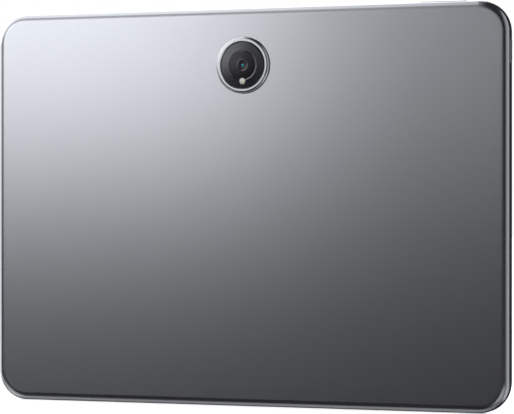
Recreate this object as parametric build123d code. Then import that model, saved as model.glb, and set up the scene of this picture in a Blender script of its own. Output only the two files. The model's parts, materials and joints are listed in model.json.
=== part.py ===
from build123d import *
import os

# A twelve-inch tablet computer, standing upright on its long bottom edge.
# X runs along the long side (to the right when the back is faced), Y through the thickness
# (the back faces -Y, the glass +Y) and Z up. The origin is the middle of the bottom edge.
# All sizes are in millimetres.

# ---- driving dimensions ----
WIDTH = 268.6
HEIGHT = 195.0
THICKNESS = 6.5
CORNER_RADIUS = 15.0
EDGE_PLAN = 2.05             # the back's edge slopes over this width
EDGE_DEPTH = 1.18            # and through this depth
EDGE_INNER_RADIUS = 6.0      # blend from the flat back into the slope
EDGE_OUTER_RADIUS = 1.2      # blend from the slope into the side walls
CAVITY_RADIUS = 1.2          # inside corner between floor and side walls
SIDE_WALL = 1.6
BACK_WALL = 0.8
RIM = 0.8                    # metal rim around the glass
RIM_DROP = 0.3               # the rim ends this far below the glass's face
GLASS = 0.65
SEAL = 0.35                  # adhesive frame between glass and ledge
GAP = 0.1                    # assembly gap between neighbouring pieces
ACTIVE_WIDTH = 250.1         # lit area of the display
ACTIVE_HEIGHT = 178.6

# ---- levels through the thickness ----
BACK_Y = -THICKNESS / 2
FRONT_Y = THICKNESS / 2
FLOOR_Y = BACK_Y + BACK_WALL
RIM_Y = FRONT_Y - RIM_DROP
GLASS_Y = FRONT_Y - GLASS
LEDGE_Y = GLASS_Y - SEAL
CELL_Y = GLASS_Y - 0.6       # back of the liquid-crystal cell
TRAY_Y = GLASS_Y - 1.5       # back of the display's steel tray
BOARD_Y = -1.75              # back face of every printed board
BOARD = 0.7
PARTS_Y = BOARD_Y + BOARD    # face that carries the components
FLEX_Y = FLOOR_Y + 0.15      # flexible strips lie just above the floor
FLEX = 0.15

# ---- plan positions ----
MID_Z = HEIGHT / 2
INNER_X = WIDTH / 2 - SIDE_WALL
INNER_TOP = HEIGHT - SIDE_WALL
DISPLAY_WIDTH = ACTIVE_WIDTH + 3.3
DISPLAY_HEIGHT = ACTIVE_HEIGHT + 3.4

# ---- rear camera, measured from its optical axis ----
CAMERA_Z = HEIGHT - 28.1
CAMERA_PROUD = 1.5           # ring above the back
RING_RADIUS = 13.9
RING_LIP_RADIUS = 12.7       # outer edge of the ring's flat lip
RING_LIP = 0.8               # width of that lip
RING_WALL = 0.45             # height of the ring's upright outer wall above the back
SLEEVE_RADIUS = 12.3
SLEEVE_HOLE_RADIUS = 12.4
COVER_RADIUS = 11.55
SEAT_RADIUS = 10.6
DISC_RADIUS = 7.15
DISC_CROWN_RADIUS = 134.0    # the inner disc is part of a large sphere
DISC_RISE = 0.08             # the disc's middle stands this far above the annulus
LENS_RING_RADIUS = 3.15
LENS_RADIUS = 2.1
FLASH_DROP = 7.8
FLASH_RADIUS = 1.52
RECESS = 0.35                # counterbore that takes the ring's flange
RING_TOP_Y = BACK_Y - CAMERA_PROUD
COVER_Y = RING_TOP_Y + 0.12  # face of the cover at its inner edge
COVER = 0.6                  # its thickness there
COVER_FALL = 0.27            # the cover slopes back by this much towards its rim
COVER_BACK_Y = COVER_Y + COVER
SEAM = 0.04                  # half the hairline gap between neighbouring rings
RIM_BEVEL = (0.3, 0.2)       # width and depth of the bevels where annulus and disc meet
MODULE_SIZE = 8.6
MODULE_Y = (-1.95, 0.5)      # sensor housing and focus drive
GASKET = 0.15                # between the cover and its seat
STIFFENER = 0.4              # raised pad on the floor around the camera's hole

# ---- keys ----
KEY_Y = 0.6                  # middle of the straight part of the side walls
KEY_HEIGHT = 2.3
KEY_CLEARANCE = 0.12
KEY_PROUD = 0.4
FLANGE = 0.5
FLANGE_LAP = 0.9             # how far a key's flange reaches past its slot
FLANGE_GAP = 0.35            # flange to wall, so that a rocking key stays clear
POWER_LENGTH = 11.5
POWER_Z = HEIGHT - 23.6
VOLUME_LENGTH = 23.2
VOLUME_X = 101.2

# ---- openings along the edges ----
PORT_Y = 0.55
PORT_WIDTH = 8.94
PORT_HEIGHT = 3.16
PORT_DEPTH = 7.3
GRILLE_HOLES = 9
GRILLE_PITCH = 2.2
GRILLE_HOLE_RADIUS = 0.6
SPEAKER_OFFSET = 49.5        # grille centres above and below the middle
CONTACT_PITCH = 4.5
CONTACT_LENGTH = 15.0
CONTACT_HEIGHT = 3.0
MICROPHONE_X = (-92.0, 44.0)
MICROPHONE_HOLE_RADIUS = 0.4

# ---- inside ----
BATTERY_WIDTH = 106.0
BATTERY_SPLIT = 2.0          # each cell starts this far from the middle
BATTERY_Z = (22.0, 142.0)
BATTERY_Y = (FLOOR_Y + 0.1, 0.8)
MAIN_BOARD_X = 75.0
MAIN_BOARD_Z = (150.0, 187.5)
SCREW_RADIUS = 0.7
SCREW_HEAD_RADIUS = 1.3
SCREW_HEAD = 0.35
BOSS_RADIUS = 1.7
MAIN_SCREWS = [(x, z) for x in (-71.5, -24.0, 24.0, 71.5) for z in (153.5, 184.0)]
USB_SCREWS = [(-117.0, 87.5), (-117.0, 107.5)]
FRONT_CAMERA_Z = 190.95
LIGHT_SENSOR_X = 12.0

os.makedirs("parts", exist_ok=True)


# ---- helpers ----
def block(x, y, z):
    """A box from its low and high limits along each axis."""
    size = [high - low for low, high in (x, y, z)]
    middle = [(high + low) / 2 for low, high in (x, y, z)]
    return Pos(*middle) * Box(*size)


def slab(sketch, y, at=(0.0, 0.0)):
    """A sketch in the plane of the back, drawn as (x, z), thickened from y[0] to y[1]."""
    return Pos(at[0], y[1], at[1]) * extrude(Plane.XZ * sketch, amount=y[1] - y[0])


def along_x(sketch, x, at=(0.0, 0.0)):
    """A sketch drawn as (y, z), extended along X."""
    return Pos(x[0], at[0], at[1]) * extrude(Plane.YZ * sketch, amount=x[1] - x[0])


def along_z(sketch, z, at=(0.0, 0.0)):
    """A sketch drawn as (x, y), extended along Z."""
    return Pos(at[0], at[1], z[0]) * extrude(sketch, amount=z[1] - z[0])


def outline(inset):
    """The tablet's outline, moved inwards, as a sketch centred on the middle of the back."""
    return RectangleRounded(WIDTH - 2 * inset, HEIGHT - 2 * inset, CORNER_RADIUS - inset)


def edges_at(shape, axis, value):
    """The edges of a shape that lie in one plane."""
    return shape.edges().filter_by_position(axis, value - 0.001, value + 0.001)


def save(name, shape):
    export_step(shape, f"parts/{name}.step")


def save_group(name, shapes):
    """Separate solids kept together in one node."""
    save(name, Compound(children=[solid for shape in shapes for solid in shape.solids()]))


def screws(places, seat_y, length):
    """Pan-head screws with a cross recess, entering towards the back."""
    cross = Rectangle(1.3, 0.3) + Rectangle(0.3, 1.3)
    made = []
    for place in places:
        head = slab(Circle(SCREW_HEAD_RADIUS), (seat_y, seat_y + SCREW_HEAD), place)
        head = fillet(edges_at(head, Axis.Y, seat_y + SCREW_HEAD), 0.15)
        head -= slab(cross, (seat_y + 0.15, seat_y + SCREW_HEAD), place)
        made.append(head + slab(Circle(SCREW_RADIUS - 0.1), (seat_y - length, seat_y), place))
    return made


# ---- housing ----
def grille_places():
    """Centres of the speaker holes on a short edge, as (y, z)."""
    span = (GRILLE_HOLES - 1) * GRILLE_PITCH / 2
    return [
        (KEY_Y, MID_Z + half * SPEAKER_OFFSET - span + i * GRILLE_PITCH)
        for half in (-1, 1)
        for i in range(GRILLE_HOLES)
    ]


def rear_housing():
    """One machined aluminium tray: back, rounded edge, side walls, ledge and bosses."""
    middle = (0.0, MID_Z)
    body = slab(outline(0), (BACK_Y, RIM_Y), middle)
    back = body.faces().sort_by(Axis.Y)[0]
    body = chamfer(edges_at(body, Axis.Y, BACK_Y), EDGE_PLAN, EDGE_DEPTH, reference=back)
    body = fillet(edges_at(body, Axis.Y, BACK_Y), EDGE_INNER_RADIUS)
    body = fillet(edges_at(body, Axis.Y, BACK_Y + EDGE_DEPTH), EDGE_OUTER_RADIUS)
    body = chamfer(edges_at(body, Axis.Y, RIM_Y), 0.25)
    body -= slab(outline(RIM), (LEDGE_Y, RIM_Y), middle)
    cavity = slab(outline(SIDE_WALL), (FLOOR_Y, LEDGE_Y), middle)
    body -= fillet(edges_at(cavity, Axis.Y, FLOOR_Y), CAVITY_RADIUS)

    camera = (0.0, CAMERA_Z)
    body += slab(Circle(SLEEVE_HOLE_RADIUS + 1.0), (FLOOR_Y, FLOOR_Y + STIFFENER), camera)
    body -= slab(Circle(RING_RADIUS + 0.22), (BACK_Y, BACK_Y + RECESS), camera)
    body -= slab(Circle(SLEEVE_HOLE_RADIUS), (BACK_Y, FLOOR_Y + STIFFENER), camera)

    for place in MAIN_SCREWS + USB_SCREWS:
        body += slab(Circle(BOSS_RADIUS), (FLOOR_Y, BOARD_Y), place)
        body -= slab(Circle(SCREW_RADIUS), (FLOOR_Y, BOARD_Y), place)
    body += block((-0.5, 0.5), (FLOOR_Y, FLOOR_Y + 1.2), BATTERY_Z)

    hole = Circle(GRILLE_HOLE_RADIUS)
    for side in (-1, 1):
        wall = sorted((side * INNER_X, side * WIDTH / 2))
        for place in grille_places():
            body -= along_x(hole, wall, place)

    power = SlotOverall(POWER_LENGTH + 2 * KEY_CLEARANCE, KEY_HEIGHT + 2 * KEY_CLEARANCE)
    body -= along_x(Rot(0, 0, 90) * power, (INNER_X, WIDTH / 2), (KEY_Y, POWER_Z))
    volume = SlotOverall(VOLUME_LENGTH + 2 * KEY_CLEARANCE, KEY_HEIGHT + 2 * KEY_CLEARANCE)
    body -= along_z(volume, (INNER_TOP, HEIGHT), (VOLUME_X, KEY_Y))

    port = Rot(0, 0, 90) * SlotOverall(PORT_WIDTH + 0.16, PORT_HEIGHT + 0.16)
    body -= along_x(port, (-WIDTH / 2, -INNER_X), (PORT_Y, MID_Z))
    contacts = SlotOverall(CONTACT_LENGTH, CONTACT_HEIGHT)
    body -= along_z(contacts, (0, SIDE_WALL), (0, KEY_Y))
    for x in MICROPHONE_X:
        body -= along_z(Circle(MICROPHONE_HOLE_RADIUS), (INNER_TOP, HEIGHT), (x, KEY_Y))
    return body


# ---- display ----
def front_cover_glass():
    inset = RIM + GAP
    glass = slab(outline(inset), (GLASS_Y, FRONT_Y), (0, MID_Z))
    return fillet(edges_at(glass, Axis.Y, FRONT_Y), 0.35)


def display_seal_frame():
    """Adhesive frame that bonds the glass to the housing's ledge."""
    opening = RectangleRounded(DISPLAY_WIDTH + 0.6, DISPLAY_HEIGHT + 0.6, 1.0)
    frame = slab(outline(RIM + 2 * GAP) - opening, (LEDGE_Y, GLASS_Y), (0, MID_Z))
    frame -= slab(Circle(1.9), (LEDGE_Y, GLASS_Y), (0, FRONT_CAMERA_Z))
    return frame - slab(Circle(1.0), (LEDGE_Y, GLASS_Y), (LIGHT_SENSOR_X, FRONT_CAMERA_Z))


def display_cell():
    cell = RectangleRounded(DISPLAY_WIDTH - 0.8, DISPLAY_HEIGHT - 0.8, 1.0)
    return slab(cell, (CELL_Y, GLASS_Y), (0, MID_Z))


def display_tray():
    """Shallow steel tray around the light guide."""
    outside = RectangleRounded(DISPLAY_WIDTH, DISPLAY_HEIGHT, 1.2)
    inside = RectangleRounded(DISPLAY_WIDTH - 0.4, DISPLAY_HEIGHT - 0.4, 1.0)
    tray = slab(outside, (TRAY_Y, CELL_Y), (0, MID_Z))
    return tray - slab(inside, (TRAY_Y + 0.2, CELL_Y), (0, MID_Z))


LIGHT_BAR = 1.2
GUIDE_WIDTH = DISPLAY_WIDTH - 1.2
GUIDE_LOW = MID_Z - DISPLAY_HEIGHT / 2 + 0.6
GUIDE_HIGH = MID_Z + DISPLAY_HEIGHT / 2 - 0.6


def light_guide():
    z = (GUIDE_LOW + LIGHT_BAR + GAP, GUIDE_HIGH)
    return block((-GUIDE_WIDTH / 2, GUIDE_WIDTH / 2), (TRAY_Y + 0.2, CELL_Y), z)


def backlight_bar():
    """Strip of light-emitting diodes along the bottom of the light guide."""
    x = (-GUIDE_WIDTH / 2 + 4, GUIDE_WIDTH / 2 - 4)
    strip = block(x, (TRAY_Y + 0.2, TRAY_Y + 0.4), (GUIDE_LOW, GUIDE_LOW + LIGHT_BAR))
    count = 40
    pitch = (x[1] - x[0]) / count
    for i in range(count):
        start = x[0] + pitch * (i + 0.2)
        z = (GUIDE_LOW + 0.5, GUIDE_LOW + LIGHT_BAR)
        strip += block((start, start + 0.6 * pitch), (TRAY_Y + 0.4, CELL_Y - 0.1), z)
    return strip


def front_camera():
    """Square module in the top border, and its lens just behind the glass."""
    half = 2.1
    z = (FRONT_CAMERA_Z - half, FRONT_CAMERA_Z + half)
    place = (0.0, FRONT_CAMERA_Z)
    module = block((-2.6, 2.6), (-1.6, 1.2), z)
    module += slab(Circle(1.8), (1.2, GLASS_Y - 0.15), place)
    module -= slab(Circle(1.1), (1.8, GLASS_Y - 0.15), place)
    lens = slab(Circle(1.05), (1.85, 2.2), place)
    return module, fillet(edges_at(lens, Axis.Y, 2.2), 0.3)


def light_sensor():
    x = (LIGHT_SENSOR_X - 1.2, LIGHT_SENSOR_X + 1.2)
    z = (FRONT_CAMERA_Z - 1.0, FRONT_CAMERA_Z + 1.0)
    return block(x, (1.3, LEDGE_Y - GAP), z)


# ---- rear camera ----
def around_camera(profile):
    """Turn a profile about the camera's optical axis. Its corners are (radius, y) pairs."""
    return turn(Polyline(*profile, close=True).edges())


def turn(edges):
    return Pos(0, 0, CAMERA_Z) * revolve(make_face(edges), Axis.Y)


def camera_trim_ring():
    """Bright ring: flange in the recess, upright wall, rounded shoulder, lip, seat and sleeve."""
    flange_y = BACK_Y + RECESS
    wall_y = BACK_Y - RING_WALL
    lip_inner = RING_LIP_RADIUS - RING_LIP
    bore = COVER_RADIUS + 0.06
    seat_y = COVER_BACK_Y + GASKET
    foot_y = FLOOR_Y + STIFFENER
    ends = ((RING_LIP_RADIUS, RING_TOP_Y), (RING_RADIUS, wall_y))
    shoulder = Spline(*ends, tangents=((1, 0), (0, 1)))
    rest = Polyline(
        (RING_LIP_RADIUS, RING_TOP_Y),
        (lip_inner, RING_TOP_Y),
        (bore, RING_TOP_Y + 0.32),
        (bore, seat_y),
        (SEAT_RADIUS, seat_y),
        (SEAT_RADIUS, foot_y),
        (SLEEVE_RADIUS, foot_y),
        (SLEEVE_RADIUS, flange_y),
        (RING_RADIUS, flange_y),
        (RING_RADIUS, wall_y),
    )
    return turn(rest.edges() + shoulder.edges())


def camera_cover_glass():
    """Black glass annulus, sloping slightly back towards its rim, with a bevel at both edges."""
    inner = DISC_RADIUS + SEAM
    profile = [
        (inner, COVER_BACK_Y),
        (COVER_RADIUS, COVER_BACK_Y),
        (COVER_RADIUS, COVER_Y + COVER_FALL + 0.2),
        (COVER_RADIUS - 0.5, COVER_Y + COVER_FALL),
        (inner + RIM_BEVEL[0], COVER_Y),
        (inner, COVER_Y + RIM_BEVEL[1]),
    ]
    return around_camera(profile) - flash_hole(COVER_Y - 1, COVER_BACK_Y + 1)


def flash_hole(low, high):
    return slab(Circle(FLASH_RADIUS + SEAM), (low, high), (0, CAMERA_Z - FLASH_DROP))


def camera_inner_disc():
    """Slightly domed disc inside the annulus, with holes for lens and flash."""
    top_y = COVER_Y - DISC_RISE
    inner = LENS_RING_RADIUS + SEAM
    bevel = DISC_RADIUS - RIM_BEVEL[0]

    def crown(radius):
        return (radius, top_y + radius**2 / (2 * DISC_CROWN_RADIUS))

    edge_y = crown(bevel)[1]
    face = ThreePointArc(crown(inner), crown((inner + bevel) / 2), crown(bevel))
    rest = Polyline(
        crown(bevel),
        (DISC_RADIUS, edge_y + RIM_BEVEL[1]),
        (DISC_RADIUS, COVER_BACK_Y),
        (inner, COVER_BACK_Y),
        crown(inner),
    )
    return turn(face.edges() + rest.edges()) - flash_hole(top_y - 1, COVER_BACK_Y + 1)


def lens_ring():
    """Dark metal ring around the lens: outer bevel, narrow crest, slope in to the lens."""
    crest_y = COVER_Y - DISC_RISE - 0.02
    inner = LENS_RADIUS + 2 * SEAM
    profile = [
        (inner, COVER_BACK_Y),
        (LENS_RING_RADIUS, COVER_BACK_Y),
        (LENS_RING_RADIUS, crest_y + 0.14),
        (LENS_RING_RADIUS - 0.28, crest_y),
        (LENS_RING_RADIUS - 0.4, crest_y),
        (LENS_RING_RADIUS - 0.7, crest_y + 0.16),
        (inner + 0.1, crest_y + 0.3),
        (inner, crest_y + 0.42),
    ]
    return around_camera(profile)


def camera_lens():
    """Front element: a shallow dome on a disc."""
    rise = 0.35
    sphere_radius = (LENS_RADIUS**2 + rise**2) / (2 * rise)
    rim_y = COVER_Y + 0.55
    disc = slab(Circle(LENS_RADIUS), (rim_y - rise, rim_y + 0.4), (0, CAMERA_Z))
    centre = Pos(0, rim_y - rise + sphere_radius, CAMERA_Z)
    return disc & centre * Sphere(sphere_radius)


def camera_barrel():
    front_y = COVER_BACK_Y + 0.35
    barrel = slab(Circle(2.9), (front_y, MODULE_Y[0]), (0, CAMERA_Z))
    bore = slab(Circle(1.5), (front_y, -2.3), (0, CAMERA_Z))
    return barrel - bore


MODULE_FOOT = 0.7            # the housing's foot reaches this far past it


def camera_module():
    """Focus drive and sensor housing behind the barrel."""
    half = MODULE_SIZE / 2
    square = RectangleRounded(MODULE_SIZE, MODULE_SIZE, 0.4)
    module = slab(square, MODULE_Y, (0, CAMERA_Z))
    foot_z = (CAMERA_Z - half - MODULE_FOOT, CAMERA_Z + half + MODULE_FOOT)
    return module + block((-half, half), (MODULE_Y[1], MODULE_Y[1] + 0.3), foot_z)


def camera_flex():
    """Strip from the sensor up to a connector on the main board."""
    low = CAMERA_Z + MODULE_SIZE / 2 + MODULE_FOOT
    high = MAIN_BOARD_Z[1] - 6.0
    strip_y = MODULE_Y[1]
    strip = block((-2.5, 2.5), (strip_y, strip_y + FLEX), (low, high))
    return strip + block((-3.5, 3.5), (-0.35, strip_y), (high - 3.0, high))


def flash_parts():
    """Lens in the cover, light-emitting chips behind it and their small board."""
    place = (0.0, CAMERA_Z - FLASH_DROP)
    lens = slab(Circle(FLASH_RADIUS), (COVER_Y, COVER_BACK_Y), place)
    lens = fillet(edges_at(lens, Axis.Y, COVER_Y), 0.12)
    led_y = (COVER_BACK_Y + 0.1, COVER_BACK_Y + 0.45)
    half = (0.42, 0.36)
    chips = []
    for x, z in ((0.3, place[1] + 0.48), (-0.2, place[1] - 0.42)):
        chips.append(block((x - half[0], x + half[0]), led_y, (z - half[1], z + half[1])))
    board = slab(Rectangle(4.0, 3.6), (led_y[1], led_y[1] + 0.3), place)
    return lens, chips, board


def camera_gasket():
    ring = Circle(COVER_RADIUS - 0.05) - Circle(SEAT_RADIUS + 0.05)
    return slab(ring, (COVER_BACK_Y, COVER_BACK_Y + GASKET), (0, CAMERA_Z))


# ---- keys ----
def key(length, inner, outer):
    """A key along X with its cap, flange and pressing nib, built pointing along +Z."""
    cap = along_z(SlotOverall(length, KEY_HEIGHT), (inner - FLANGE_GAP, outer + KEY_PROUD))
    cap = fillet(edges_at(cap, Axis.Z, outer + KEY_PROUD), 0.22)
    flange_size = (length + 2 * FLANGE_LAP, KEY_HEIGHT + 0.6)
    flange_z = (inner - FLANGE_GAP - FLANGE, inner - FLANGE_GAP)
    return cap + along_z(RectangleRounded(*flange_size, 0.8), flange_z)


NIB = 0.5
SWITCH_GAP = 0.32            # room for the key's travel in front of a switch
SWITCH = 0.7


def power_button():
    body = key(POWER_LENGTH, INNER_X, WIDTH / 2)
    low = INNER_X - FLANGE_GAP - FLANGE - NIB
    body += along_z(Circle(0.8), (low, low + NIB))
    return Pos(0, KEY_Y, POWER_Z) * (Rot(0, 90, 0) * body)


def volume_rocker():
    body = key(VOLUME_LENGTH, INNER_TOP, HEIGHT)
    low = INNER_TOP - FLANGE_GAP - FLANGE - NIB
    for side in (-1, 1):
        body += along_z(Circle(0.8), (low, low + NIB), (side * VOLUME_LENGTH * 0.36, 0))
    return Pos(VOLUME_X, KEY_Y, 0) * body


KEY_SWITCH_FACE = FLANGE_GAP + FLANGE + NIB + SWITCH_GAP


def switch_at(depth):
    """A dome switch facing +Z, its dome at the given height."""
    case = along_z(RectangleRounded(3.4, 2.6, 0.3), (depth - SWITCH, depth - 0.2))
    return case + along_z(Circle(0.9), (depth - 0.2, depth))


def power_switch():
    return Pos(0, KEY_Y, POWER_Z) * (Rot(0, 90, 0) * switch_at(INNER_X - KEY_SWITCH_FACE))


def volume_switches():
    places = [VOLUME_X + side * VOLUME_LENGTH * 0.36 for side in (-1, 1)]
    return [Pos(x, KEY_Y, 0) * switch_at(INNER_TOP - KEY_SWITCH_FACE) for x in places]


BRACKET = 0.4
BRACKET_FACE = KEY_SWITCH_FACE + SWITCH


def bracket(length, wall):
    """Folded steel strip that backs the switches, with a foot on the floor."""
    back = wall - BRACKET_FACE
    y = (FLOOR_Y - KEY_Y, LEDGE_Y - 0.5 - KEY_Y)
    upright = block((-length / 2, length / 2), y, (back - BRACKET, back))
    foot = block((-length / 2, length / 2), (y[0], y[0] + BRACKET), (back - 2.4, back))
    return upright + foot


def power_bracket():
    return Pos(0, KEY_Y, POWER_Z) * (Rot(0, 90, 0) * bracket(POWER_LENGTH, INNER_X))


def volume_bracket():
    return Pos(VOLUME_X, KEY_Y, 0) * bracket(VOLUME_LENGTH, INNER_TOP)


def side_key_flex():
    """Flat strip from the main board to the two key brackets."""
    y = (FLEX_Y, FLEX_Y + FLEX)
    trunk = block((MAIN_BOARD_X - 6, 119.0), y, (168.0, 172.0))
    branch = block((VOLUME_X - 2, VOLUME_X + 2), y, (172.0, 186.5))
    tail = block((119.0, 126.4), y, (169.0, 172.0))
    return trunk + branch + tail


# ---- sound ----
SPEAKER_DEPTH = 15.6
SPEAKER_LENGTH = 33.0
SPEAKER_Y = (FLOOR_Y + 0.15, 0.45)
SURROUND = (26.0, 11.0)      # raised oval frame of the diaphragm
DIAPHRAGM = (18.0, 4.5)
MESH_LENGTH = 20.4


def speaker(side, half):
    """Sealed box with an oval diaphragm towards the glass and a mouth at the grille."""
    z_mid = MID_Z + half * SPEAKER_OFFSET
    wall = side * (INNER_X - 0.9)
    inner = side * (INNER_X - 0.9 - SPEAKER_DEPTH)
    x = sorted((wall, inner))
    middle = (sum(x) / 2, z_mid)
    box = slab(RectangleRounded(SPEAKER_DEPTH, SPEAKER_LENGTH, 1.5), SPEAKER_Y, middle)
    top_y = SPEAKER_Y[1] + 0.4
    cone_y = SPEAKER_Y[1] + 0.15
    upright = Rot(0, 0, 90)
    box += slab(upright * SlotOverall(*SURROUND), (SPEAKER_Y[1], top_y), middle)
    box -= slab(upright * SlotOverall(SURROUND[0] - 3.0, SURROUND[1] - 3.0), (cone_y, top_y), middle)
    box += slab(upright * SlotOverall(*DIAPHRAGM), (cone_y, cone_y + 0.15), middle)
    mouth = RectangleRounded(2.0, MESH_LENGTH, 0.4)
    return box - along_x(mouth, sorted((wall, wall - side * 4.0)), (-0.75, z_mid))


def speaker_mesh(side, half):
    """Woven strip between grille and speaker."""
    outside = side * (INNER_X - 0.05)
    x = sorted((outside, outside - side * 0.2))
    return block(x, (KEY_Y - 1.1, KEY_Y + 1.1), mesh_span(half))


def mesh_span(half):
    middle = MID_Z + half * SPEAKER_OFFSET
    return (middle - MESH_LENGTH / 2, middle + MESH_LENGTH / 2)


def microphones():
    made = []
    for x in MICROPHONE_X:
        can = block((x - 1.7, x + 1.7), (-0.8, 2.0), (INNER_TOP - 1.3, INNER_TOP - 0.2))
        made.append(can - along_z(Circle(0.3), (INNER_TOP - 0.8, INNER_TOP - 0.2), (x, KEY_Y)))
    return made


# ---- charging port ----
PORT_MOUTH_X = -WIDTH / 2 + 0.25
SHELL_WALL = 0.3
TONGUE_HALF = 0.32           # half the tongue's thickness
TONGUE_WIDTH = 6.68


def port_shell():
    """Drawn steel shell of the receptacle, closed at its inner end."""
    x = (PORT_MOUTH_X, PORT_MOUTH_X + PORT_DEPTH)
    outside = Rot(0, 0, 90) * SlotOverall(PORT_WIDTH, PORT_HEIGHT)
    inside = Rot(0, 0, 90) * SlotOverall(PORT_WIDTH - 2 * SHELL_WALL, PORT_HEIGHT - 2 * SHELL_WALL)
    shell = along_x(outside, x, (PORT_Y, MID_Z))
    return shell - along_x(inside, (x[0], x[1] - 1.0), (PORT_Y, MID_Z))


def port_tongue():
    """Centre tongue with its contacts on both faces."""
    x = (PORT_MOUTH_X + 0.8, PORT_MOUTH_X + PORT_DEPTH - 1.0)
    z = (MID_Z - TONGUE_WIDTH / 2, MID_Z + TONGUE_WIDTH / 2)
    tongue = block(x, (PORT_Y - TONGUE_HALF, PORT_Y + TONGUE_HALF), z)
    for side in (-1, 1):
        face = PORT_Y + side * TONGUE_HALF
        for i in range(12):
            middle = MID_Z + (i - 5.5) * 0.5
            y = sorted((face, face + side * 0.04))
            tongue += block((x[0] + 0.5, x[1] - 1.0), y, (middle - 0.13, middle + 0.13))
    return tongue


def port_gasket():
    """Rubber ring that seals the receptacle against the inside of the wall."""
    ring = SlotOverall(PORT_WIDTH + 1.0, PORT_HEIGHT + 0.2)
    hole = SlotOverall(PORT_WIDTH + 0.04, PORT_HEIGHT + 0.04)
    x = (-INNER_X, -INNER_X + 0.6)
    return along_x(Rot(0, 0, 90) * (ring - hole), x, (PORT_Y, MID_Z))


def usb_board():
    x = (-INNER_X + 0.8, -114.8)
    board = block(x, (BOARD_Y, PARTS_Y), (84.0, 111.0))
    for place in USB_SCREWS:
        board -= slab(Circle(SCREW_RADIUS + 0.15), (BOARD_Y, PARTS_Y), place)
    chips = ((-123.0, 89.5, 3.0, 3.0), (-122.5, 105.0, 4.0, 2.4), (-119.0, 97.5, 2.4, 4.4))
    for cx, cz, w, h in chips:
        board += block((cx - w / 2, cx + w / 2), (PARTS_Y, PARTS_Y + 0.8), (cz - h / 2, cz + h / 2))
    return board


# ---- keyboard contacts ----
def contact_insert():
    """Moulded insert in the bottom edge, drilled for three contacts."""
    slot = SlotOverall(CONTACT_LENGTH - 0.04, CONTACT_HEIGHT - 0.04)
    holes = Sketch() + [Pos(i * CONTACT_PITCH, 0) * Circle(1.02) for i in (-1, 0, 1)]
    return along_z(slot - holes, (0, SIDE_WALL), (0, KEY_Y))


def contact_pads():
    z = (0.08, SIDE_WALL + 0.6)
    return [along_z(Circle(1.0), z, (i * CONTACT_PITCH, KEY_Y)) for i in (-1, 0, 1)]


def contact_board():
    z = (SIDE_WALL + 0.6, SIDE_WALL + 1.0)
    return block((-9.0, 9.0), (-1.2, 2.0), z)


# ---- main electronics ----
def main_board():
    """Printed board with a window for the camera module."""
    z = MAIN_BOARD_Z
    board = block((-MAIN_BOARD_X, MAIN_BOARD_X), (BOARD_Y, PARTS_Y), z)
    window = RectangleRounded(MODULE_SIZE + 1.6, MODULE_SIZE + 3.0, 0.8)
    board -= slab(window, (BOARD_Y, PARTS_Y), (0, CAMERA_Z))
    for place in MAIN_SCREWS:
        board -= slab(Circle(SCREW_RADIUS + 0.15), (BOARD_Y, PARTS_Y), place)
    return board


def chip(x, z, width, height, thick):
    low = (x - width / 2, z - height / 2)
    package = block((low[0], low[0] + width), (PARTS_Y, PARTS_Y + thick), (low[1], low[1] + height))
    return chamfer(edges_at(package, Axis.Y, PARTS_Y + thick), 0.05)


def support_chips():
    """Power, radio and storage packages around the processor."""
    power = [(-58.0, 176.0), (-49.0, 176.0), (-58.0, 162.0), (-49.0, 162.0), (-40.5, 169.0)]
    made = [chip(x, z, 5.0, 5.0, 0.8) for x, z in power]
    made += [chip(58.0, 174.0, 9.0, 9.0, 0.9), chip(58.0, 161.0, 6.0, 5.0, 0.8)]
    return made + [chip(47.0, 176.0, 8.0, 10.0, 0.9)]


CAN_WALL = 0.15
CAN_HEIGHT = 1.35
SHIELD_CANS = [
    ((25.5, 52.0), (158.0, 182.0)),
    ((-62.0, -36.5), (157.0, 181.0)),
    ((52.6, 63.4), (157.0, 181.0)),
]


def shield_can(x, z):
    """Drawn steel can over a group of chips, open towards the board, with vent holes."""
    y = (PARTS_Y, PARTS_Y + CAN_HEIGHT)
    can = block(x, y, z)
    can = fillet(edges_at(can, Axis.Y, y[1]), 0.12)
    inner_x = (x[0] + CAN_WALL, x[1] - CAN_WALL)
    inner_z = (z[0] + CAN_WALL, z[1] - CAN_WALL)
    can -= block(inner_x, (y[0], y[1] - CAN_WALL), inner_z)
    for i in range(3):
        for j in range(2):
            place = (x[0] + (i + 1) * (x[1] - x[0]) / 4, z[0] + (j + 1) * (z[1] - z[0]) / 3)
            can -= slab(Circle(0.6), (y[1] - CAN_WALL, y[1]), place)
    return can


def board_connectors():
    """Low mating blocks for the battery, display, port and key strips."""
    places = [(-66.0, 171.0, 2.2, 8.0), (12.5, 153.5, 8.0, 2.2), (-14.0, 153.5, 7.0, 2.2)]
    places += [(68.0, 178.0, 2.2, 6.0), (12.0, 184.5, 6.0, 2.0)]
    return [chip(x, z, w, h, 0.6) for x, z, w, h in places]


def heat_spreaders():
    """Thin graphite sheets over the cans, one each side of the camera."""
    return [block(x, (0.4, 0.55), (156.5, 182.0)) for x in ((-63.0, -9.5), (9.5, 64.0))]


# ---- battery ----
def battery_cell(side):
    """Soft pouch cell with rounded long edges and a folded seam at the top."""
    x = sorted((side * BATTERY_SPLIT, side * (BATTERY_SPLIT + BATTERY_WIDTH)))
    top = BATTERY_Z[1] - 4.0
    cell = block(x, BATTERY_Y, (BATTERY_Z[0], top))
    cell = fillet(cell.edges().filter_by(Axis.Z), 1.2)
    seam = block((x[0] + 1.5, x[1] - 1.5), (-0.9, -0.3), (top, BATTERY_Z[1]))
    return cell + seam


def battery_adhesive():
    """Stretch-release strips under the cells."""
    starts = [side * (BATTERY_SPLIT + BATTERY_WIDTH * share) for side in (-1, 1) for share in (0.2, 0.7)]
    y = (FLOOR_Y, FLOOR_Y + 0.1)
    return [block((x - 6, x + 6), y, (BATTERY_Z[0] + 6, BATTERY_Z[1] - 10)) for x in starts]


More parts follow.
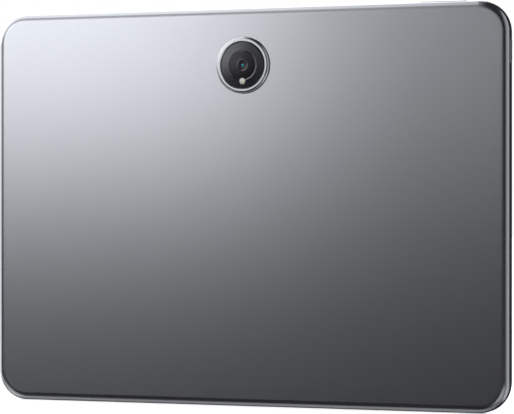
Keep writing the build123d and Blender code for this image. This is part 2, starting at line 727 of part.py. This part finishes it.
def battery_protection_board():
    board = block((-46.0, 46.0), (-1.5, -1.0), (143.0, 148.0))
    for x in (-38.0, -22.0, -8.0, 8.0, 22.0, 38.0):
        board += block((x - 2.5, x + 2.5), (-1.0, -0.2), (144.0, 147.0))
    return board


def battery_flex():
    """Strip from the protection board to its connector on the main board."""
    lead = block((9.0, 16.0), (-1.0, -0.85), (148.0, 149.6))
    lead += block((9.0, 16.0), (-1.0, -0.3), (149.6, 149.75))
    return lead + block((9.0, 16.0), (-0.45, -0.3), (149.6, 154.6))


def main_flex():
    """Strip along the left cell from the main board down to the port's board."""
    y = (FLEX_Y, FLEX_Y + FLEX)
    return block((-114.5, -109.0), y, (86.0, 166.0)) + block((-109.0, -76.0), y, (160.0, 166.0))


def display_flex():
    """Folded tail of the display, plugged in beside the camera."""
    tail = block((-24.0, -4.0), (0.9, 1.05), (142.5, 156.0))
    return tail + block((-17.5, -10.5), (-0.45, 0.9), (152.4, 154.6))


# ---- along the edges ----
def wireless_antennas():
    """Printed antennas on plastic carriers in the top corners."""
    made = []
    for side in (-1, 1):
        x = sorted((side * 84.0, side * (84.0 - 34.0)))
        base = block(x, (-1.6, 0.9), (189.4, 192.9))
        made.append(base - block((x[0] + 1, x[1] - 1), (-1.6, -0.8), (189.4, 191.6)))
    return made


def edge_magnets():
    """Bars that hold a pen on the top edge and a keyboard on the bottom edge."""
    y = (-1.5, 1.9)
    top = [block((x - 5, x + 5), y, (190.2, 193.2)) for x in (-42.0, -28.0, -14.0)]
    bottom = [block((x - 7, x + 7), y, (1.8, 4.8)) for x in (-92.0, -54.0, -22.0, 22.0, 54.0, 92.0)]
    return top + bottom


def pen_coil():
    """Flat winding that charges a pen through the top edge."""
    ring = SlotOverall(17.0, 3.4) - SlotOverall(14.6, 1.2)
    return along_z(ring, (191.6, 193.0), (29.0, 0.3))


# ---- write every node ----
single = {
    "rear_housing": rear_housing(),
    "front_cover_glass": front_cover_glass(),
    "display_seal_frame": display_seal_frame(),
    "display_cell": display_cell(),
    "display_tray": display_tray(),
    "light_guide": light_guide(),
    "backlight_bar": backlight_bar(),
    "light_sensor": light_sensor(),
    "camera_trim_ring": camera_trim_ring(),
    "camera_cover_glass": camera_cover_glass(),
    "camera_inner_disc": camera_inner_disc(),
    "camera_lens_ring": lens_ring(),
    "camera_lens": camera_lens(),
    "camera_barrel": camera_barrel(),
    "camera_module": camera_module(),
    "camera_flex": camera_flex(),
    "camera_gasket": camera_gasket(),
    "power_button": power_button(),
    "power_switch": power_switch(),
    "power_bracket": power_bracket(),
    "volume_rocker": volume_rocker(),
    "volume_bracket": volume_bracket(),
    "side_key_flex": side_key_flex(),
    "usb_c_shell": port_shell(),
    "usb_c_tongue": port_tongue(),
    "usb_c_gasket": port_gasket(),
    "usb_board": usb_board(),
    "contact_insert": contact_insert(),
    "contact_board": contact_board(),
    "main_board": main_board(),
    "processor": chip(34.0, 169.0, 15.0, 15.0, 1.0),
    "battery_cell_left": battery_cell(-1),
    "battery_cell_right": battery_cell(1),
    "battery_protection_board": battery_protection_board(),
    "battery_flex": battery_flex(),
    "main_flex": main_flex(),
    "display_flex": display_flex(),
    "pen_charging_coil": pen_coil(),
}
for name, shape in single.items():
    save(name, shape)

front_module, front_lens = front_camera()
save("front_camera_module", front_module)
save("front_camera_lens", front_lens)
flash_lens, flash_chips, flash_board = flash_parts()
save("flash_lens", flash_lens)
save_group("flash_chips", flash_chips)
save("flash_board", flash_board)

halves = {"lower": -1, "upper": 1}
sides = {"left": -1, "right": 1}
for side_name, side in sides.items():
    for half_name, half in halves.items():
        save(f"speaker_{side_name}_{half_name}", speaker(side, half))

save_group("speaker_meshes", [speaker_mesh(s, h) for s in (-1, 1) for h in (-1, 1)])
save_group("microphones", microphones())
save_group("volume_switches", volume_switches())
save_group("contact_pads", contact_pads())
save_group("support_chips", support_chips())
save_group("shield_cans", [shield_can(x, z) for x, z in SHIELD_CANS])
save_group("board_connectors", board_connectors())
save_group("heat_spreaders", heat_spreaders())
save_group("battery_adhesive", battery_adhesive())
save_group("wireless_antennas", wireless_antennas())
save_group("edge_magnets", edge_magnets())
save_group("board_screws", screws(MAIN_SCREWS + USB_SCREWS, PARTS_Y, 1.2))
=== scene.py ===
import json
import math

import bpy
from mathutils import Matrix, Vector


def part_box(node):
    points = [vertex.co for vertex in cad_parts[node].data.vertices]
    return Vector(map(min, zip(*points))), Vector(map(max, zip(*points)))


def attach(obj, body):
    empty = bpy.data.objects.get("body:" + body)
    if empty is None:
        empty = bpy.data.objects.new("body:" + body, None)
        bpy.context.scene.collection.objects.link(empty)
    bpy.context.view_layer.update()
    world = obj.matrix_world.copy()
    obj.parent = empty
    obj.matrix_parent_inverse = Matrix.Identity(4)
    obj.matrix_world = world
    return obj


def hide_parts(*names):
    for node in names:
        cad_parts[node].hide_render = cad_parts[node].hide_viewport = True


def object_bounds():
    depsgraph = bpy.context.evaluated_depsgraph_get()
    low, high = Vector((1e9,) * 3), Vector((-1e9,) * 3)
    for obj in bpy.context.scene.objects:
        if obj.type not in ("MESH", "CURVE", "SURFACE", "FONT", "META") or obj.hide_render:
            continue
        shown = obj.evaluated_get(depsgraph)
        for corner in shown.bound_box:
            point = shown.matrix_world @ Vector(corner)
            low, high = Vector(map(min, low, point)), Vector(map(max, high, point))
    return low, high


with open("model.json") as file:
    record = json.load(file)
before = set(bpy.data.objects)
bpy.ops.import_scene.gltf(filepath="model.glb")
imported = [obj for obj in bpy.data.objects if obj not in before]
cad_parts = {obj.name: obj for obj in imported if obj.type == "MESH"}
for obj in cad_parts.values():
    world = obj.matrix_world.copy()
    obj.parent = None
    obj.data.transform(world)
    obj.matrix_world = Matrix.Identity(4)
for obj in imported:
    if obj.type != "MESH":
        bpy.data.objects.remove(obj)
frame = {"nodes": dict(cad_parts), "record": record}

CAD_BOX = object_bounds()
MM = 0.001

# ---- camera ----
PHOTO_AZIMUTH = math.radians(21.55)
CAMERA_DEPTH = 1.2228         # metres in front of the middle of the back
CAMERA_ASIDE = 0.00676        # metres that the optical axis passes right of that middle
FOCAL_LENGTH = 175.0          # millimetres, for Blender's default 36 mm sensor

# ---- studio ----
FLOOR_SIZE = 14.0
FLOOR_GAP = 0.0002            # the floor lies this far under the bottom edge
FLOOR_GLOW = 0.56
DOME_RADIUS = 7.0
AMBIENT = 0.03
METAL_GREY = (0.485, 0.495, 0.520)
SATIN = 0.18
FRONT_POLISH = 0.06
DISPLAY_MARGIN = 0.0013       # the display's grey ends this far inside its cell
DISPLAY_EDGE = 0.0002         # and fades to the border's black over this width

# ---- round pieces ----
DOME_STEPS = 8
WINDOW_SEGMENTS = 48
CRISP_ANGLE = math.radians(28)
# Lengths from here on are in millimetres. Rim and edge rings are (in from the rim, behind
# the outer face).
BORE_INSET = 0.10             # the rear camera's rim lies this far behind the CAD lens's face
BORE_RIM = ((0.0, 0.1), (0.12, 0.0))
BORE_RADII = (1.72, 1.34, 0.96)
BORE_FIRST_DEPTH = 0.05
BORE_STEP_DEPTH = 0.13
BORE_LEDGE = 0.06
BORE_WALL = 0.10
ELEMENT_RADIUS = 0.62
ELEMENT_RISE = 0.2
ELEMENT_DEPTH = 0.22
CAP_EDGE = ((0.0, 0.22), (0.0, 0.08))
CAP_INSET = 0.1
CAP_RISE = 0.05
BOWL_RIM = ((0.0, 0.24), (0.08, 0.24), (0.2, 0.45))
BOWL_FLOOR_INSET = 0.45
BOWL_FLOOR_DEPTH = 0.12       # behind the outer face of the flash's chips
# The front camera's window: (radius, height over the glass).
WINDOW_RINGS = ((1.45, -0.05), (1.45, 0.006), (1.30, 0.012), (1.05, 0.008), (0.72, 0.006))
PUPIL_RADIUS = 0.7
PUPIL_RISE = 0.008
PUPIL_BASE = 0.004
PUPIL_MIRROR = 0.02           # turns the dome round so that it bulges out of the front
SEAM_REACH = 0.34             # the ground bevels lie this near the seam of the two black glasses
BEVEL_NORMALS = (-0.97, -0.5) # limits of the part of their normals along Y


# ---- node helpers ----
class Shader:
    """A node tree with short ways to add and join nodes."""

    def __init__(self, tree):
        self.tree = tree
        tree.nodes.clear()

    def node(self, kind, **settings):
        made = self.tree.nodes.new(kind)
        for name, value in settings.items():
            setattr(made, name, value)
        return made

    def feed(self, socket, value):
        """Joins an output to a socket, or sets the socket's own value."""
        if isinstance(value, bpy.types.NodeSocket):
            self.tree.links.new(value, socket)
        elif value is not None:
            socket.default_value = value

    def math(self, operation, *values):
        made = self.node("ShaderNodeMath", operation=operation)
        for socket, value in zip(made.inputs, values):
            self.feed(socket, value)
        return made.outputs[0]

    def ramp(self, value, low, high, start=0.0, end=1.0):
        """A smooth step from start to end as value goes from low to high."""
        made = self.node("ShaderNodeMapRange", interpolation_type="SMOOTHERSTEP")
        for name, number in zip(("From Min", "From Max", "To Min", "To Max"), (low, high, start, end)):
            made.inputs[name].default_value = number
        self.feed(made.inputs["Value"], value)
        return made.outputs["Result"]

    def mix(self, factor, first, second):
        """Mixes two colours. A mix node's colour sockets are inputs 6 and 7 and output 2."""
        made = self.node("ShaderNodeMix", data_type="RGBA")
        self.feed(made.inputs["Factor"], factor)
        self.feed(made.inputs[6], first)
        self.feed(made.inputs[7], second)
        return made.outputs[2]

    def noise(self, scale, detail, stretch=None):
        """Noise in the object's own metres, with its own scale on each axis if asked."""
        place = self.node("ShaderNodeTexCoord").outputs["Object"]
        if stretch:
            mapping = self.node("ShaderNodeMapping")
            mapping.inputs["Scale"].default_value = stretch
            self.feed(mapping.inputs["Vector"], place)
            place = mapping.outputs["Vector"]
        made = self.node("ShaderNodeTexNoise")
        self.feed(made.inputs["Vector"], place)
        made.inputs["Scale"].default_value = scale
        made.inputs["Detail"].default_value = detail
        return made.outputs["Fac"]

    def bump(self, height, strength, distance):
        made = self.node("ShaderNodeBump")
        made.inputs["Strength"].default_value = strength
        made.inputs["Distance"].default_value = distance
        self.feed(made.inputs["Height"], height)
        return made.outputs["Normal"]


def surface(name, color, roughness, metallic=0.0, **sockets):
    """A material with a Principled shader. Returns the material, its tree and the shader's node."""
    made = bpy.data.materials.new(name)
    made.use_nodes = True
    shader = Shader(made.node_tree)
    principled = shader.node("ShaderNodeBsdfPrincipled")
    output = shader.node("ShaderNodeOutputMaterial")
    shader.feed(output.inputs["Surface"], principled.outputs["BSDF"])
    principled.inputs["Base Color"].default_value = (*color, 1.0)
    principled.inputs["Roughness"].default_value = roughness
    principled.inputs["Metallic"].default_value = metallic
    for socket, value in sockets.items():
        principled.inputs[socket.replace("_", " ")].default_value = value
    return made, shader, principled


def tint(color, share):
    return tuple(min(1.0, part * share) for part in color)


def varied(name, color, roughness, metallic, grain, depth, spread, **sockets):
    """A material whose colour, roughness and relief vary with noise at one scale."""
    made, shader, principled = surface(name, color, roughness, metallic, **sockets)
    fac = shader.noise(grain, 3.0)
    dark, light = tint(color, 1 - spread), tint(color, 1 + spread)
    shader.feed(principled.inputs["Base Color"], shader.mix(fac, (*dark, 1), (*light, 1)))
    polish = shader.ramp(fac, 0.3, 0.7, roughness * 0.9, roughness * 1.1)
    shader.feed(principled.inputs["Roughness"], polish)
    shader.feed(principled.inputs["Normal"], shader.bump(fac, 0.6, depth))
    return made


# ---- materials ----
def blasted_aluminium(name, color, roughness):
    """Bead-blasted anodised aluminium: fine pits, a visible grain and a faint clouding of tone."""
    made, shader, principled = surface(name, color, roughness, 1.0)
    pits = shader.noise(5200.0, 1.0)
    grain = shader.noise(1500.0, 1.0)
    cloud = shader.noise(38.0, 3.0)
    tone = shader.math("MULTIPLY", grain, 0.75)
    tone = shader.math("MULTIPLY_ADD", cloud, 0.25, tone)
    light, dark = tint(color, 1.09), tint(color, 0.91)
    shader.feed(principled.inputs["Base Color"], shader.mix(tone, (*dark, 1), (*light, 1)))
    polish = shader.ramp(pits, 0.25, 0.75, roughness * 0.94, roughness * 1.06)
    shader.feed(principled.inputs["Roughness"], polish)
    shader.feed(principled.inputs["Normal"], shader.bump(pits, 0.12, 0.000004))
    return made


def polished_black(name, color, roughness, level):
    """Black glass: faint smears in the polish, and the strength of its reflection."""
    made, shader, principled = surface(name, color, roughness)
    principled.inputs["Specular IOR Level"].default_value = level
    smear = shader.noise(90.0, 3.0, (1.0, 1.0, 0.35))
    dark, light = tint(color, 0.8), tint(color, 1.2)
    shader.feed(principled.inputs["Base Color"], shader.mix(smear, (*dark, 1), (*light, 1)))
    polish = shader.ramp(smear, 0.3, 0.7, roughness * 0.95, roughness * 1.05)
    shader.feed(principled.inputs["Roughness"], polish)
    return made


def display_front():
    """Front glass: black border ink, and the slightly lighter grey of the switched-off display."""
    made, shader, principled = surface("front_glass", (0.004, 0.004, 0.005), FRONT_POLISH)
    split = shader.node("ShaderNodeSeparateXYZ")
    shader.feed(split.inputs[0], shader.node("ShaderNodeTexCoord").outputs["Object"])
    low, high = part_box("display_cell")
    inside = 1.0
    for axis in (0, 2):
        middle = (low[axis] + high[axis]) / 2
        away = shader.math("ABSOLUTE", shader.math("SUBTRACT", split.outputs[axis], middle))
        limit = (high[axis] - low[axis]) / 2 - DISPLAY_MARGIN
        within = shader.ramp(away, limit - DISPLAY_EDGE, limit, 1.0, 0.0)
        inside = shader.math("MULTIPLY", within, inside)
    smear = shader.noise(14.0, 4.0, (1.0, 1.0, 0.5))
    glass = shader.mix(inside, (0.003, 0.003, 0.004, 1), (0.011, 0.012, 0.015, 1))
    shader.feed(principled.inputs["Base Color"], glass)
    polish = shader.ramp(smear, 0.35, 0.75, FRONT_POLISH, FRONT_POLISH * 1.5)
    shader.feed(principled.inputs["Roughness"], polish)
    return made


# For varied: name, colour, roughness, metallic, scale of the grain, depth of its relief in
# metres, and how far the colour varies.
MATERIALS = {
    "anodised_aluminium": blasted_aluminium("anodised_aluminium", METAL_GREY, SATIN),
    "polished_trim": varied("polished_trim", (0.50, 0.51, 0.53), 0.17, 1.0, 2500.0, 0.000002, 0.03),
    "dark_metal": varied("dark_metal", (0.10, 0.10, 0.11), 0.25, 1.0, 2500.0, 0.000002, 0.05),
    "black_glass": polished_black("black_glass", (0.005, 0.0055, 0.010), 0.21, 0.85),
    "front_glass": display_front(),
    "coated_lens": varied("coated_lens", (0.02, 0.34, 0.42), 0.10, 0.75, 400.0, 0.0000004, 0.1),
    "flash_plastic": varied("flash_plastic", (0.62, 0.63, 0.65), 0.15, 0.0, 1500.0, 0.00001, 0.05),
    "flash_phosphor": varied("flash_phosphor", (0.80, 0.62, 0.26), 0.5, 0.0, 3000.0, 0.00001, 0.1),
    "steel": varied("steel", (0.55, 0.55, 0.55), 0.3, 1.0, 1200.0, 0.000004, 0.05),
    "magnet_nickel": varied("magnet_nickel", (0.66, 0.64, 0.6), 0.2, 1.0, 900.0, 0.000003, 0.05),
    "gold_contacts": varied("gold_contacts", (0.83, 0.62, 0.32), 0.22, 1.0, 3000.0, 0.000003, 0.06),
    "black_plastic": varied("black_plastic", (0.022, 0.022, 0.024), 0.45, 0.0, 2500.0, 0.00001, 0.15),
    "black_rubber": varied("black_rubber", (0.015, 0.015, 0.015), 0.75, 0.0, 1500.0, 0.00001, 0.15),
    "ground_edge": varied("ground_edge", (0.16, 0.16, 0.17), 0.18, 1.0, 2500.0, 0.000002, 0.03),
    "lens_bore": varied("lens_bore", (0.035, 0.028, 0.030), 0.35, 0.3, 3000.0, 0.000004, 0.2),
    "flash_clear": varied("flash_clear", (0.96, 0.96, 0.96), 0.08, 0.0, 1500.0, 0.000002, 0.02,
                          Transmission_Weight=0.92),
    "mesh_fabric": varied("mesh_fabric", (0.03, 0.03, 0.03), 0.6, 0.4, 4000.0, 0.00004, 0.4),
    "circuit_board": varied("circuit_board", (0.01, 0.09, 0.05), 0.35, 0.0, 700.0, 0.00001, 0.3),
    "chip_plastic": varied("chip_plastic", (0.03, 0.03, 0.033), 0.5, 0.0, 1800.0, 0.00001, 0.2),
    "flex_film": varied("flex_film", (0.36, 0.15, 0.03), 0.3, 0.0, 500.0, 0.00001, 0.2),
    "graphite": varied("graphite", (0.07, 0.07, 0.075), 0.4, 0.3, 900.0, 0.00001, 0.2),
    "battery_film": varied("battery_film", (0.08, 0.08, 0.085), 0.3, 0.2, 200.0, 0.00003, 0.15),
    "adhesive": varied("adhesive", (0.75, 0.75, 0.72), 0.6, 0.0, 800.0, 0.00002, 0.05),
    "display_glass": varied("display_glass", (0.01, 0.01, 0.014), 0.1, 0.0, 400.0, 0.000001, 0.1),
    "clear_acrylic": varied("clear_acrylic", (0.8, 0.82, 0.83), 0.1, 0.0, 300.0, 0.000002, 0.05),
    "copper": varied("copper", (0.7, 0.3, 0.15), 0.3, 1.0, 3000.0, 0.00002, 0.15),
}

for part in frame["record"]["subparts"]:
    mesh = frame["nodes"][part["node"]].data
    mesh.materials.clear()
    mesh.materials.append(MATERIALS[part["material_slot"]])


# ---- studio ----
def window(shader, angles, limits, strength):
    """A soft-edged bright window in the surroundings, bounded in two angles, in degrees."""
    total = strength
    for angle, (low, rise, high, fall) in zip(angles, limits):
        middle = (low + high) / 2
        away = shader.math("WRAP", shader.math("SUBTRACT", angle, middle), -180.0, 180.0)
        risen = shader.ramp(away, low - middle, low - middle + rise)
        total = shader.math("MULTIPLY", risen, total)
        fallen = shader.ramp(away, high - middle, high - middle + fall, 1.0, 0.0)
        total = shader.math("MULTIPLY", fallen, total)
    return total


# Each window is its limits in two angles and its strength. The limits of an angle are where
# it starts, over how much it rises, where it starts to end, and over how much it falls.
# Windows placed by compass angle and by height above the horizon: the compass angle runs
# from the side that faces the back of the tablet (0) towards the tablet's -X end (90).
ROUND_WINDOWS = {
    "key": ((20.0, 2.5, 37.0, 8.0), (-1.5, 5.5, 11.0, 8.0), 1.9),
    "key_spill": ((-6.0, 14.0, 36.0, 8.0), (-1.5, 5.5, 11.0, 8.0), 0.4),
    "past_key": ((38.0, 8.0, 76.0, 6.0), (-1.0, 4.0, 21.0, 4.0), 0.40),
    "right": ((-128.0, 12.0, -38.0, 16.0), (-50.0, 10.0, 42.0, 20.0), 0.60),
    "left_back": ((62.0, 12.0, 158.0, 14.0), (-22.0, 14.0, 72.0, 14.0), 1.30),
    "low_left": ((34.0, 8.0, 64.0, 8.0), (-48.0, 16.0, -18.0, 8.0), 0.55),
    "low_front": ((-30.0, 12.0, -4.0, 8.0), (-40.0, 14.0, -14.0, 8.0), 0.60),
    "glass_side": ((-156.0, 8.0, -128.0, 8.0), (-50.0, 16.0, -20.0, 16.0), 1.10),
}
# Windows placed by the angle about the tablet's long side, from the side that faces its back
# (0) over its top edge (90), and by the angle from the plane across that side towards +X.
OVER_WINDOWS = {
    "overhead": ((34.0, 10.0, 130.0, 10.0), (-90.0, 1.0, -25.0, 17.0), 1.70),
    "past_overhead": ((14.0, 6.0, 34.0, 10.0), (-90.0, 1.0, -27.0, 20.0), 0.75),
    "below": ((-84.0, 8.0, -48.0, 12.0), (-90.0, 1.0, 60.0, 20.0), 0.38),
}


def surroundings():
    """The light that falls on the object: soft windows placed round it by direction."""
    world = bpy.data.worlds.new("studio")
    bpy.context.scene.world = world
    world.use_nodes = True
    shader = Shader(world.node_tree)
    direction = shader.node("ShaderNodeTexCoord").outputs["Generated"]
    split = shader.node("ShaderNodeSeparateXYZ")
    shader.feed(split.inputs[0], direction)
    x, y, z = split.outputs
    front = shader.math("MULTIPLY", y, -1.0)
    left = shader.math("MULTIPLY", x, -1.0)
    compass = shader.math("DEGREES", shader.math("ARCTAN2", left, front))
    height = shader.math("DEGREES", shader.math("ARCSINE", z))
    over = shader.math("DEGREES", shader.math("ARCTAN2", z, front))
    aside = shader.math("DEGREES", shader.math("ARCSINE", x))
    total = AMBIENT
    for angles, windows in (((compass, height), ROUND_WINDOWS), ((over, aside), OVER_WINDOWS)):
        for across, along, strength in windows.values():
            total = shader.math("ADD", window(shader, angles, (across, along), strength), total)
    background = shader.node("ShaderNodeBackground")
    background.inputs["Color"].default_value = (0.97, 0.98, 1.0, 1.0)
    shader.feed(background.inputs["Strength"], total)
    output = shader.node("ShaderNodeOutputWorld")
    shader.feed(output.inputs["Surface"], background.outputs[0])


def shown_only_to_camera(thing):
    thing.visible_glossy = False
    thing.visible_diffuse = False
    thing.visible_transmission = False
    thing.visible_shadow = False


def glow(name, strength):
    """A material that only shines, evenly."""
    made = bpy.data.materials.new(name)
    made.use_nodes = True
    shader = Shader(made.node_tree)
    light = shader.node("ShaderNodeEmission")
    light.inputs["Strength"].default_value = strength
    output = shader.node("ShaderNodeOutputMaterial")
    shader.feed(output.inputs["Surface"], light.outputs[0])
    return made


def backdrop():
    bpy.ops.mesh.primitive_uv_sphere_add(segments=64, ring_count=32, radius=DOME_RADIUS)
    shell = bpy.context.object
    shell.name = "backdrop"
    shell.data.materials.append(glow("backdrop_white", 1.0))
    shown_only_to_camera(shell)


def floor():
    """A pale floor under the bottom edge, kept out of the metal's reflections."""
    bpy.ops.mesh.primitive_plane_add(size=FLOOR_SIZE, location=(0, 0, CAD_BOX[0].z - FLOOR_GAP))
    plane = bpy.context.object
    plane.name = "floor"
    made, _, principled = surface("floor_pale", (0.9, 0.9, 0.9), 0.9)
    principled.inputs["Emission Color"].default_value = (1, 1, 1, 1)
    principled.inputs["Emission Strength"].default_value = FLOOR_GLOW
    plane.data.materials.append(made)
    plane.visible_glossy = False


def photo_camera():
    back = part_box("rear_housing")
    middle = Vector(((back[0].x + back[1].x) / 2, back[0].y, (back[0].z + back[1].z) / 2))
    ahead = Vector((-math.sin(PHOTO_AZIMUTH), math.cos(PHOTO_AZIMUTH), 0))
    aside = Vector((math.cos(PHOTO_AZIMUTH), math.sin(PHOTO_AZIMUTH), 0))
    lens = bpy.data.cameras.new("photo_camera")
    lens.lens = FOCAL_LENGTH
    lens.clip_end = 4 * DOME_RADIUS
    camera = bpy.data.objects.new("photo_camera", lens)
    bpy.context.collection.objects.link(camera)
    camera.location = middle - ahead * CAMERA_DEPTH + aside * CAMERA_ASIDE
    camera.rotation_euler = (math.pi / 2, 0, PHOTO_AZIMUTH)
    bpy.context.scene.camera = camera


# ---- pieces ----
def turned(name, centre, rings, bands, segments=96):
    """A round piece about an axis along Y. Rings are (radius, y); each band between two
    rings has a material. A ring of radius 0 closes the piece to a point."""
    made = bpy.data.meshes.new(name)
    points, faces, slots = [], [], []
    starts = []
    for radius, y in rings:
        starts.append(len(points))
        count = segments if radius else 1
        for i in range(count):
            angle = 2 * math.pi * i / segments
            points.append((centre.x + radius * math.cos(angle), y, centre.z + radius * math.sin(angle)))
    names = []
    for index, band in enumerate(bands):
        if band not in names:
            names.append(band)
        first, second = starts[index], starts[index + 1]
        for i in range(segments):
            after = (i + 1) % segments
            if not rings[index][0]:
                face = (first, second + i, second + after)
            elif not rings[index + 1][0]:
                face = (first + i, second, first + after)
            else:
                face = (first + i, second + i, second + after, first + after)
            faces.append(face)
            slots.append(names.index(band))
    made.from_pydata(points, [], faces)
    for band in names:
        made.materials.append(MATERIALS[band])
    made.polygons.foreach_set("material_index", slots)
    made.polygons.foreach_set("use_smooth", [True] * len(faces))
    made.validate()
    piece = bpy.data.objects.new(name, made)
    bpy.context.collection.objects.link(piece)
    split = piece.modifiers.new("crisp_edges", "EDGE_SPLIT")
    split.split_angle = CRISP_ANGLE
    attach(piece, "tablet")
    return piece


def middle_of(node):
    low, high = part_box(node)
    return (low + high) / 2


def inset_rings(radius, face, rings):
    """Rings given by how far in from a rim and how far behind a face they lie."""
    return [(radius - inset * MM, face + depth * MM) for inset, depth in rings]


def dome(radius, rise, face_y):
    """Rings of a shallow dome, from its rim to its top."""
    made = []
    for i in range(DOME_STEPS + 1):
        r = radius - radius * i / DOME_STEPS
        made.append((r, face_y + rise * (r / radius) ** 2))
    return made


def rear_lens():
    """The camera's stepped bore, and the small coated element at the bottom of it."""
    centre = middle_of("camera_lens")
    low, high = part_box("camera_lens")
    radius = (high.x - low.x) / 2
    face = low.y + BORE_INSET * MM
    rings = [(radius, high.y)] + inset_rings(radius, face, BORE_RIM)
    bands = ["black_plastic", "dark_metal"]
    for step, r in enumerate(BORE_RADII):
        depth = face + (BORE_FIRST_DEPTH + BORE_STEP_DEPTH * step) * MM
        rings += [(r * MM + BORE_LEDGE * MM, depth), (r * MM, depth + BORE_WALL * MM)]
        bands += ["lens_bore", "dark_metal"]
    element = dome(ELEMENT_RADIUS * MM, ELEMENT_RISE * MM, face + ELEMENT_DEPTH * MM)
    rings += element
    bands += ["lens_bore"] + ["coated_lens"] * (len(element) - 1)
    piece = turned("camera_lens_bore", centre, rings, bands)
    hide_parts("camera_lens")


def flash():
    """A clear cap over a white reflector bowl, with the two chips showing through."""
    centre = middle_of("flash_lens")
    low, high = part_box("flash_lens")
    radius = (high.x - low.x) / 2
    cap = inset_rings(radius, low.y, CAP_EDGE)
    cap += dome(radius - CAP_INSET * MM, CAP_RISE * MM, low.y)
    piece = turned("flash_cap", centre, cap, ["flash_clear"] * (len(cap) - 1))
    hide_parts("flash_lens")
    floor_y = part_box("flash_chips")[0].y + BOWL_FLOOR_DEPTH * MM
    bowl = inset_rings(radius, low.y, BOWL_RIM)
    bowl += [(radius - BOWL_FLOOR_INSET * MM, floor_y), (0.0, floor_y)]
    piece = turned("flash_reflector", centre, bowl, ["flash_plastic"] * (len(bowl) - 1))


def front_camera_window():
    """The front camera's small round window in the border of the glass."""
    centre = middle_of("front_camera_lens")
    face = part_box("front_cover_glass")[1].y
    rings = [(radius * MM, face + height * MM) for radius, height in WINDOW_RINGS]
    pupil = dome(PUPIL_RADIUS * MM, PUPIL_RISE * MM, face + PUPIL_BASE * MM)
    inner = [(r, 2 * face + PUPIL_MIRROR * MM - y) for r, y in pupil]
    bands = ["black_plastic", "dark_metal", "lens_bore", "dark_metal"]
    rings += inner
    bands += ["lens_bore"] + ["coated_lens"] * (len(inner) - 1)
    piece = turned("front_camera_window", centre, rings, bands, WINDOW_SEGMENTS)
    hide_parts("front_camera_lens")


def black_glass_edges():
    """The inner disc reflects less than the annulus, and the bevels where they meet are ground."""
    disc = frame["nodes"]["camera_inner_disc"].data
    disc.materials[0] = polished_black("inner_black_glass", (0.001, 0.001, 0.003), 0.21, 0.40)
    centre = middle_of("camera_inner_disc")
    low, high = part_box("camera_inner_disc")
    seam = (high.x - low.x) / 2
    for node in ("camera_inner_disc", "camera_cover_glass"):
        mesh = frame["nodes"][node].data
        mesh.materials.append(MATERIALS["ground_edge"])
        for face in mesh.polygons:
            away = math.hypot(face.center.x - centre.x, face.center.z - centre.z)
            if abs(away - seam) < SEAM_REACH * MM and BEVEL_NORMALS[0] < face.normal.y < BEVEL_NORMALS[1]:
                face.material_index = len(mesh.materials) - 1


rear_lens()
flash()
front_camera_window()
black_glass_edges()
surroundings()
backdrop()
floor()
photo_camera()
bpy.context.scene.view_settings.view_transform = "Standard"
